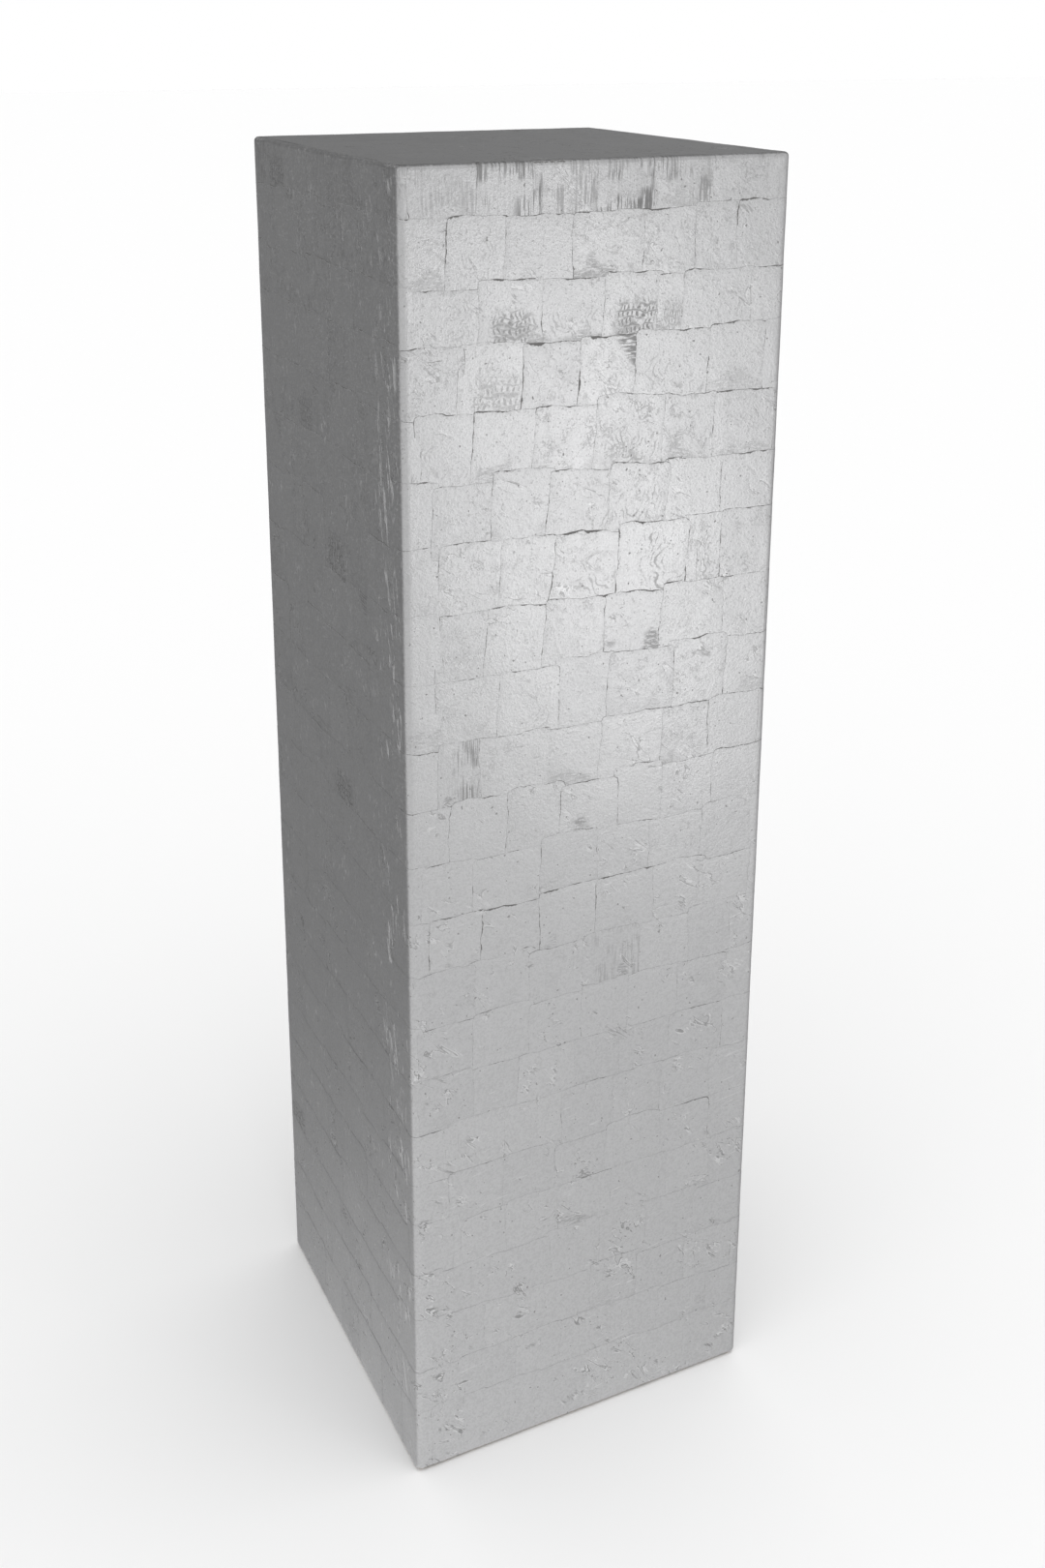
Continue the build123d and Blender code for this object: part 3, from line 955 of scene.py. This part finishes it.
# Front leaves that are marked more than most: (row, place in the row) and the marks.
MARKED_LEAVES = {
    (0, 1): {"pleats": 0.9},
    (0, 2): {"pleats": 0.5},
    (0, 3): {"pleats": 1.0},
    (0, 4): {"pleats": 0.7},
    (1, 2): {"squiggles": 0.3, "wrinkles": 0.7},
    (2, 1): {"hatch": 0.75, "wrinkles": 0.5},
    (2, 2): {"wrinkles": 0.6, "arcs": 0.3},
    (2, 3): {"hatch": 0.9, "wrinkles": 0.6},
    (2, 4): {"hatch": 0.5, "wrinkles": 0.6},
    (3, 0): {"hatch": 0.45, "arcs": 0.3},
    (3, 1): {"open": 1.7},
    (3, 2): {"open": 1.7, "tear": 0.9},
    (3, 3): {"arcs": 0.3},
    (4, 3): {"arcs": 0.5},
    (4, 4): {"squiggles": 0.35},
    (5, 2): {"arcs": 0.3},
    (5, 3): {"arcs": 0.4},
    (6, 2): {"arcs": 0.4, "squiggles": 0.3, "open": 1.3},
    (6, 3): {"arcs": 0.55, "open": 1.2},
    (6, 4): {"arcs": 0.5},
    (6, 5): {"squiggles": 0.35},
    (7, 3): {"wrinkles": 0.9, "open": 1.2},
    (9, 0): {"wrinkles": 0.9, "pleats": 0.8},
    (10, 2): {"wrinkles": 0.9},
    (12, 0): {"open": 0.9, "wrinkles": 0.5},
    (12, 1): {"open": 1.1},
    (12, 2): {"open": 1.1, "wrinkles": 0.5},
    (12, 3): {"open": 0.9},
    (13, 3): {"wrinkles": 0.9, "pleats": 0.4},
    (18, 2): {"wrinkles": 0.7},
    (20, 6): {"wrinkles": 1.0, "tear": 0.8, "open": 1.0},
}


class PEDESTAL_OT_lay_wall_leaf(bpy.types.Operator):
    """Lay rows of silver leaf round the four walls, from the top row down"""

    bl_idname = "pedestal.lay_wall_leaf"
    bl_label = "Lay leaf on the walls"

    def execute(self, context):
        look = context.scene.pedestal_leaf
        rng = np.random.default_rng(look.seed)
        surface = WallSurface()
        ground = uneven_ground(rng)
        material = named_finish("Silver leaf", silver_leaf, look)
        blanks = {
            (round_corner, over_edge): blank_leaf(columns, rows)
            for round_corner, columns in ((False, PLAIN_GRID), (True, CORNER_GRID))
            for over_edge, rows in ((False, PLAIN_GRID), (True, EDGE_GRID))
        }
        laid = {name: [] for name in FACES}
        v_high = surface.v_flat + TOP_ROW_OVER
        limits = (NO_LIMIT, (LEAST_FOOT, v_high))
        for row, (foot, seams) in enumerate(FRONT_ROWS):
            v_low = max(surface.v_flat - surface.squeeze_top - foot * MM, 0.0)
            cuts = surface.row_cuts(seams, look.pitch, rng)
            over_left = rng.random(len(cuts)) < 0.75
            for k in range(len(cuts) - 1):
                leaf = self.plan_leaf(surface, look, row, (cuts[k], cuts[k + 1]), (v_low, v_high), rng)
                leaf["marks"] = self.choose_marks(row, k, leaf["face"], rng)
                left = SIDE_LIFT if over_left[k] else 0.0
                right = 0.0 if over_left[(k + 1) % (len(cuts) - 1)] else SIDE_LIFT
                leaf["lifts"] = (left, right, 0.0, TOP_LIFT)
                blank = blanks[bool(leaf["bends_u"]), bool(leaf["bends_v"])]
                laid[FACES[leaf["face"]]].append(lay_leaf(blank, surface, leaf, ground, limits, rng))
            v_high = v_low
        for blank in blanks.values():
            bpy.data.objects.remove(blank)
        for name in FACES:
            finish_sheet(f"leaf_{name}", laid[name], look.thickness, material)
        return {"FINISHED"}

    def plan_leaf(self, surface, look, row, span_u, span_v, rng):
        """Where a leaf lies, how large it is, how far it is turned and which edges it bends over."""
        middle, level = sum(span_u) / 2, sum(span_v) / 2
        # the leaves of the front's middle rows lean to the right at their tops
        away = zip((middle, level), LEAN_MIDDLE, LEAN_REACH)
        leaning = LEAN * math.exp(-sum(((at - centre) / far) ** 2 for at, centre, far in away))
        # the top edge shows, and rises and falls from leaf to leaf; the foot lies hidden under the next row
        rise = float(np.clip(rng.normal(0, 2.2 * MM), -4.5 * MM, 4.5 * MM))
        top = span_v[1] + (look.lap / 2 + rise if row else 1 * MM)
        foot = span_v[0] - look.lap / 2 - HIDDEN_FOOT
        lap_u = look.lap * rng.uniform(0.8, 1.2)
        reach = lap_u / 2 + 1 * MM
        return {
            "at": (middle, (top + foot) / 2),
            "size": (span_u[1] - span_u[0] + lap_u, top - foot),
            "turn": rng.normal(0, look.turn / 2) - leaning,
            "bends_u": surface.bends_under(span_u[0] - reach, span_u[1] + reach),
            "bends_v": surface.edges_under(foot, top),
            "face": surface.face_at(middle),
        }

    def choose_marks(self, row, place_in_row, face, rng):
        """What shows on a leaf: the upper rows of the front are the most rubbed."""
        age = float(np.interp(row, (0, 8, 13, 22), (1.0, 0.8, 0.45, 0.1)))
        marks = leaf_marks(rng, age, 1.0 if face == 0 else 0.65)
        if row == 0:
            marks["pleats"] = rng.uniform(0.0, 0.45)
            marks["open"] *= 0.6
        marks["open"] += sometimes(rng, 0.10, 0.1, 0.35)
        if face == 0:
            marks.update(MARKED_LEAVES.get((row, place_in_row), {}))
        elif rng.random() < 0.10 * age:
            marks[("hatch", "arcs", "tear")[rng.integers(3)]] = rng.uniform(0.4, 0.9)
        return marks


class PEDESTAL_OT_lay_top_leaf(bpy.types.Operator):
    """Lay the leaf on the flat of the top"""

    bl_idname = "pedestal.lay_top_leaf"
    bl_label = "Lay leaf on the top"

    def execute(self, context):
        look = context.scene.pedestal_leaf
        rng = np.random.default_rng(look.seed + 1)
        ground = uneven_ground(rng)
        material = named_finish("Silver leaf", silver_leaf, look)
        blank = blank_leaf(PLAIN_GRID, PLAIN_GRID)
        inset = TOP_EDGE_RADIUS + 1 * MM
        half_u, half_v = WIDTH / 2 - inset, DEPTH / 2 - inset
        limits = ((-half_u, half_u), (-half_v, half_v))
        rows, columns = math.ceil(2 * half_v / look.pitch), math.ceil(2 * half_u / look.pitch)
        laid = []
        for row in range(rows):
            start = -half_u - rng.uniform(0.0, 0.8) * look.pitch
            v0 = -half_v + row * 2 * half_v / rows
            v1 = v0 + 2 * half_v / rows
            for column in range(columns + 2):
                u0 = max(start + column * look.pitch, -half_u)
                u1 = min(start + (column + 1) * look.pitch, half_u)
                if u1 - u0 < NARROWEST:
                    continue
                leaf = {
                    "marks": leaf_marks(rng, 0.3, 0.5),
                    "turn": rng.normal(0, look.turn / 3),
                    "at": ((u0 + u1) / 2, (v0 + v1) / 2),
                    "size": (u1 - u0 + look.lap, v1 - v0 + look.lap),
                    "lifts": (*SIDE_LIFTS_ON_TOP, 0.0, TOP_LIFT),
                }
                laid.append(lay_leaf(blank, TopSurface(), leaf, ground, limits, rng))
        bpy.data.objects.remove(blank)
        finish_sheet("leaf_top", laid, look.thickness, material)
        return {"FINISHED"}


# ---------------------------------------------------------------- the boards, timbers and feet


class PEDESTAL_OT_finish_carcass(bpy.types.Operator):
    """Give the boards, timbers, screws and feet beneath the leaf their finishes"""

    bl_idname = "pedestal.finish_carcass"
    bl_label = "Finish the carcass"

    def execute(self, context):
        look = context.scene.pedestal_leaf
        quarter = math.pi / 2
        bole = named_finish("Bole on fibreboard", bole_on_fibreboard, look)
        across = named_finish("Pine, left to right", pine, (0, quarter, 0))
        deep = named_finish("Pine, front to back", pine, (quarter, 0, 0))
        hard_timber = named_finish("Beech", beech)
        nylon = named_finish("Black nylon", black_nylon)
        finishes = {
            "_wall": bole,
            "top_panel": bole,
            "base_panel": named_finish("Raw fibreboard", raw_fibreboard),
            "mid_brace": named_finish("Birch plywood", birch_plywood),
            "_post_": named_finish("Pine, upright", pine, (0, 0, 0)),
            "_cleat_front": across,
            "_cleat_back": across,
            "_cleat_left": deep,
            "_cleat_right": deep,
            "mitre_spline": hard_timber,
            "top_dowels": hard_timber,
            "glide_front": nylon,
            "glide_back": nylon,
            "felt_pad": named_finish("Wool felt", wool_felt),
            "_screws": named_finish("Zinc plate", zinc_plate),
        }
        for name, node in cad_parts.items():
            chosen = [made for part_of_name, made in finishes.items() if part_of_name in name]
            if len(chosen) != 1:
                raise RuntimeError(f"{name} needs one finish and has {len(chosen)}")
            for slot in node.material_slots:
                slot.material = chosen[0]
        return {"FINISHED"}


# ---------------------------------------------------------------- the studio


class PEDESTAL_OT_set_stage(bpy.types.Operator):
    """Set the floor, the light and the camera"""

    bl_idname = "pedestal.set_stage"
    bl_label = "Set the stage"

    def execute(self, context):
        studio = context.scene.pedestal_studio
        self.lay_floor(studio)
        self.light_room(context, studio)
        self.hang_lights(studio)
        self.stand_camera(context)
        context.scene.view_settings.view_transform = "Standard"
        return {"FINISHED"}

    def lay_floor(self, studio):
        bpy.ops.object.select_all(action="DESELECT")
        bpy.ops.mesh.primitive_plane_add(size=FLOOR_SIZE, location=(0, 0, -FLOOR_DROP))
        floor = bpy.context.active_object
        floor.name = "floor"
        material, _, shader = new_material("Pale floor")
        shader.inputs["Base Color"].default_value = (*studio.floor, 1.0)
        shader.inputs["Roughness"].default_value = 0.9
        shader.inputs["Specular IOR Level"].default_value = 0.0
        floor.data.materials.append(material)
        floor.visible_glossy = False

    def light_room(self, context, studio):
        """The room glows: bright before the pedestal, dim behind it, bright again near the floor."""
        world = bpy.data.worlds.new("Studio room")
        world.use_nodes = True
        world.node_tree.nodes.clear()
        t = Tree(world.node_tree)
        way = t.node("ShaderNodeTexCoord").outputs["Generated"]
        x, y, z = t.split(way)
        ahead = t.step(y, 0.16, -0.24)
        behind = t.times(t.step(x, 0.24, 0.66, 0.88, 1.10), studio.back_glow)
        behind = t.times(behind, t.step(z, -0.12, 0.14, 1.0, 0.82))
        before = t.times(t.step(x, 0.2, 0.75, 1.02, 0.90), studio.front_glow)
        glow = t.between(ahead, behind, before)
        glow = t.between(t.step(z, -0.50, -0.84), glow, studio.front_glow)
        # low down the room is brighter on the left than on the right
        across = t.step(x, 0.26, 0.47, 1.13, 0.80)
        glow = t.times(glow, t.between(t.step(z, -0.50, -0.68), 1.0, across))
        # a wide soft glow round the key light, low on the right
        toward = t.node("ShaderNodeVectorMath", {0: way, 1: (0.44, -0.82, -0.37)}, operation="DOT_PRODUCT")
        glow = t.times_plus(t.step(toward.outputs["Value"], 0.88, 1.0), studio.halo, glow)
        seen = t.node("ShaderNodeLightPath").outputs["Is Camera Ray"]
        strength = t.between(seen, glow, 1.0)
        background = t.node("ShaderNodeBackground", {"Color": (1, 1, 1, 1), "Strength": strength})
        t.node("ShaderNodeOutputWorld", {0: background.outputs[0]})
        context.scene.world = world

    def hang_lights(self, studio):
        """A tall narrow key light before the pedestal, and a soft sun overhead that no gloss shows."""
        bpy.ops.object.light_add(type="AREA", location=KEY_PLACE)
        key = bpy.context.active_object
        key.name = "key_light"
        key.data.shape = "RECTANGLE"
        key.data.size, key.data.size_y = KEY_SIZE
        key.data.energy = studio.key_power
        way = Vector(KEY_AIM) - key.location
        key.rotation_euler = way.to_track_quat("-Z", "Y").to_euler()
        key.rotation_euler.rotate_axis("Z", KEY_TWIST)
        key.visible_camera = False
        bpy.ops.object.light_add(type="SUN", location=(0, 0, 3))
        sky = bpy.context.active_object
        sky.name = "sky_light"
        sky.data.energy = studio.sky_strength
        sky.data.angle = SKY_SPREAD
        sky.visible_glossy = False

    def stand_camera(self, context):
        bpy.ops.object.camera_add(location=CAMERA_PLACE, rotation=CAMERA_TURN)
        camera = bpy.context.active_object
        camera.name = "camera"
        camera.data.sensor_width = 36
        camera.data.lens = 39.36
        camera.data.shift_y = -0.17
        context.scene.camera = camera


# ---------------------------------------------------------------- sidebar


class PEDESTAL_PT_panel(bpy.types.Panel):
    """Lists the pedestal's steps"""

    bl_label = "Pedestal"
    bl_idname = "PEDESTAL_PT_panel"
    bl_space_type = "VIEW_3D"
    bl_region_type = "UI"
    bl_category = "Pedestal"

    def draw(self, context):
        layout = self.layout
        for settings in (context.scene.pedestal_leaf, context.scene.pedestal_studio):
            box = layout.box()
            for name in settings.__annotations__:
                box.prop(settings, name)
        for operator in OPERATORS:
            layout.operator(operator.bl_idname)


OPERATORS = (
    PEDESTAL_OT_set_stage,
    PEDESTAL_OT_lay_wall_leaf,
    PEDESTAL_OT_lay_top_leaf,
    PEDESTAL_OT_finish_carcass,
)
SETTINGS = (PedestalLeafSettings, PedestalStudioSettings)


def register():
    for made in (*SETTINGS, *OPERATORS, PEDESTAL_PT_panel):
        bpy.utils.register_class(made)
    bpy.types.Scene.pedestal_leaf = PointerProperty(type=PedestalLeafSettings)
    bpy.types.Scene.pedestal_studio = PointerProperty(type=PedestalStudioSettings)


def unregister():
    del bpy.types.Scene.pedestal_studio
    del bpy.types.Scene.pedestal_leaf
    for made in reversed((*SETTINGS, *OPERATORS, PEDESTAL_PT_panel)):
        bpy.utils.unregister_class(made)


def main():
    register()
    bpy.ops.pedestal.set_stage()
    bpy.ops.pedestal.lay_wall_leaf()
    bpy.ops.pedestal.lay_top_leaf()
    bpy.ops.pedestal.finish_carcass()


if __name__ == "__main__":
    main()
